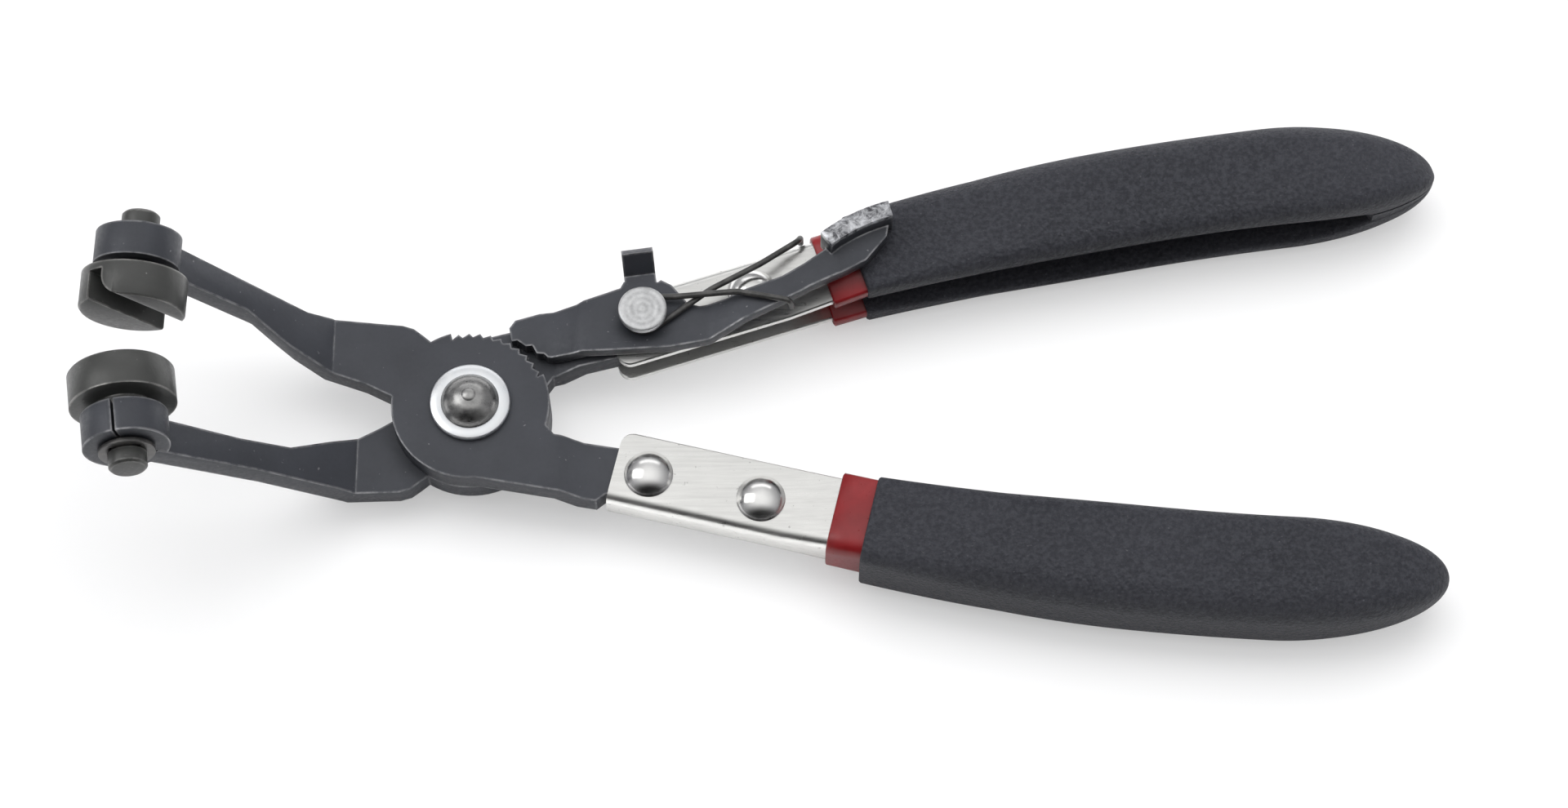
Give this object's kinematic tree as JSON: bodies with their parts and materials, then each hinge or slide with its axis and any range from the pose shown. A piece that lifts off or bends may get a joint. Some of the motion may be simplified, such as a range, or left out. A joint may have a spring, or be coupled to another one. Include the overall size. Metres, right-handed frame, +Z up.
{
  "type": "hose clamp pliers",
  "caption": "Swivel-jaw hose clamp pliers with a 45 degree offset nose, a toothed joint with a sprung lock lever, and channel handles with grips",
  "frame": {"origin": "centre of the flat tail face of the pivot rivet, which is the underside the tool lies on", "axes": "+X from the jaws to the grips, +Y towards the handle that carries the lock lever, +Z up along the pivot, the way the nose bends"},
  "size_m": [0.2395, 0.0957, 0.0501],
  "materials": {
    "black_steel": "black oxide, satin",
    "jaw_steel": "black oxide, turned, satin",
    "clip_steel": "dark phosphate",
    "pivot_steel": "polished dome",
    "zinc": "bright zinc plated",
    "nickel": "nickel plated, satin",
    "spring_steel": "dark spring wire",
    "red_vinyl": "red dipped vinyl",
    "grip_vinyl": "fine grained matte vinyl"
  },
  "bodies": {
    "front_half": {"front_lever": "black_steel", "pivot_rivet": "pivot_steel", "pivot_washer_front": "zinc", "pivot_washer_rear": "zinc", "lower_handle": "nickel", "lower_handle_rivets": "nickel", "lower_sleeve": "red_vinyl", "lower_grip": "grip_vinyl"},
    "rear_half": {"rear_lever": "black_steel", "upper_handle": "nickel", "upper_handle_rivet": "nickel", "lock_lever_rivet": "zinc", "lock_lever_washer": "zinc", "lock_spring": "spring_steel", "upper_sleeve": "red_vinyl", "upper_grip": "grip_vinyl"},
    "upper_swivel": {"upper_jaw": "jaw_steel", "upper_jaw_clip": "clip_steel"},
    "lower_swivel": {"lower_jaw": "jaw_steel", "lower_jaw_clip": "clip_steel"},
    "lock": {"lock_lever": "black_steel"}
  },
  "joints": [
    {"name": "plier_pivot", "type": "hinge", "parent": "front_half", "child": "rear_half", "pos_m": [0, 0, 0.009], "axis": [0, 0, 1], "range_deg": [-8, 24.6]},
    {"name": "upper_jaw_spin", "type": "hinge", "parent": "front_half", "child": "upper_swivel", "pos_m": [-0.0555, 0.0166, 0.04125], "axis": [-0.0401, -0.9978, -0.0523], "continuous": true},
    {"name": "lower_jaw_spin", "type": "hinge", "parent": "rear_half", "child": "lower_swivel", "pos_m": [-0.0555, -0.0166, 0.04125], "axis": [-0.1442, 0.9882, -0.0523], "continuous": true},
    {"name": "lock_pivot", "type": "hinge", "parent": "rear_half", "child": "lock", "pos_m": [0.03034, 0.0158, 0.0145], "axis": [0, 0, 1], "range_deg": [-8, 1.2], "stiffness_Nm_per_rad": 0.3, "springref_deg": 1.2, "deforming": ["lock_spring"]}
  ]
}
